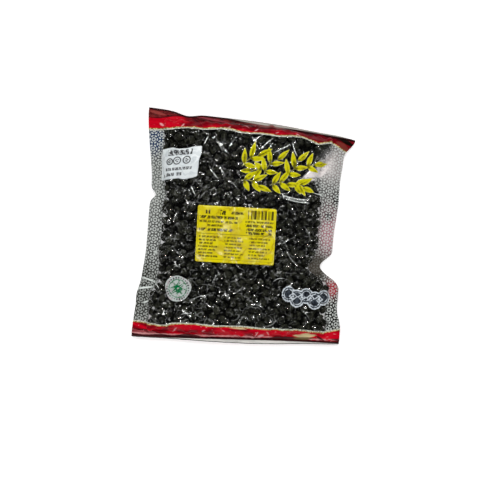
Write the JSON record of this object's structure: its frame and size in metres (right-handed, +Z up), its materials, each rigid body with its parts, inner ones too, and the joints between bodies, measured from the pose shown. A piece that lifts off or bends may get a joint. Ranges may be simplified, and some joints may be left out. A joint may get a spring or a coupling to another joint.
{
  "type": "vacuum-packed bag of fermented black beans",
  "caption": "Flat clear bag drawn tight round a block of black beans, with sealed bands at top and bottom, lace side margins, a yellow label and a price sticker.",
  "frame": {"origin": "middle of the bag's box in plan, at the height of the surface it lies on", "axes": "+Z up out of the bag's front, +Y along its length towards the top band, +X across it to the right as its front is read"},
  "size_m": [0.1906, 0.21, 0.0233],
  "materials": {
    "beans_under_film": "clear printed film drawn tight over dark, wrinkled, slightly shiny beans",
    "yellow_paper": "coated paper, satin",
    "white_paper": "thermal label paper, smooth and dull"
  },
  "bodies": {
    "root": {"bag": "beans_under_film", "yellow_label": "yellow_paper", "price_sticker": "white_paper"}
  },
  "joints": []
}
